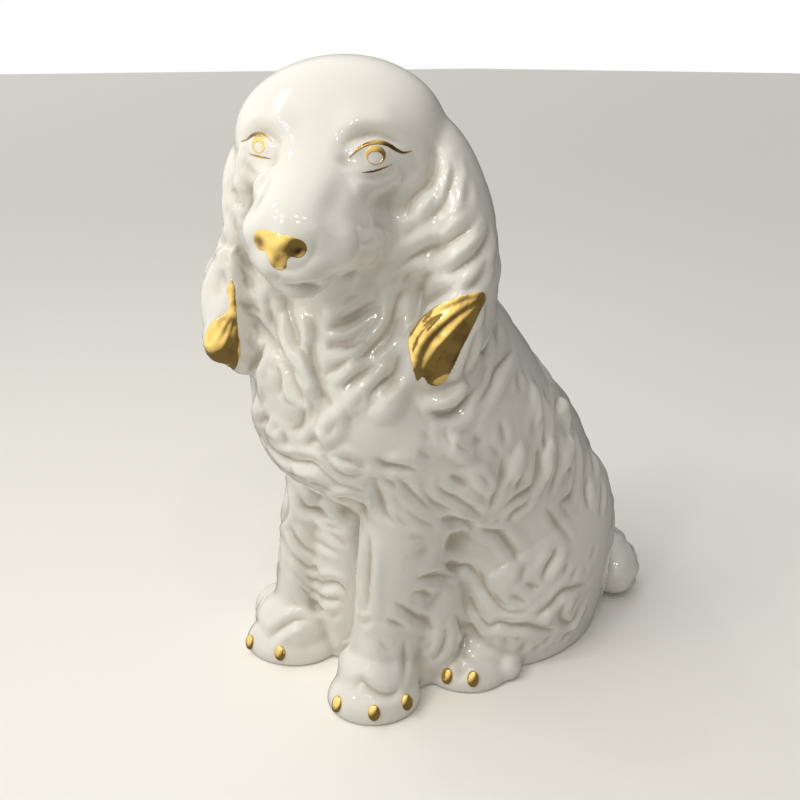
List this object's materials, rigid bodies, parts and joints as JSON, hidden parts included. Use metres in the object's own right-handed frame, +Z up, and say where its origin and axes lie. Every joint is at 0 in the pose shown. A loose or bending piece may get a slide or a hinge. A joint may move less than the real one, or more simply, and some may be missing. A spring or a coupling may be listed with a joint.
{
  "type": "seated dog figure",
  "caption": "Seated long-haired dog ornament in white-glazed cast earthenware, head turned to its left, with gilded nose, eyes, ear tufts and claws. It stands free on a flat base.",
  "frame": {"origin": "on the resting plane, on the flat base under the middle of the body", "axes": "+Z up, the dog's body faces -Y, its own left side is +X"},
  "size_m": [0.18, 0.293, 0.3566],
  "materials": {
    "white_glaze": "glossy white glaze",
    "gold_lustre": "bright fired gold lustre"
  },
  "bodies": {
    "root": {"torso": "white_glaze", "head": "white_glaze", "left_ear": "white_glaze", "right_ear": "white_glaze", "left_foreleg": "white_glaze", "right_foreleg": "white_glaze", "left_haunch": "white_glaze", "right_haunch": "white_glaze", "left_hind_paw": "white_glaze", "right_hind_paw": "white_glaze", "tail": "white_glaze", "nose_gilding": "gold_lustre", "left_eye_gilding": "gold_lustre", "right_eye_gilding": "gold_lustre", "left_ear_gilding": "gold_lustre", "right_ear_gilding": "gold_lustre", "left_forepaw_claws": "gold_lustre", "right_forepaw_claws": "gold_lustre", "left_hind_claws": "gold_lustre", "right_hind_claws": "gold_lustre"}
  },
  "joints": []
}
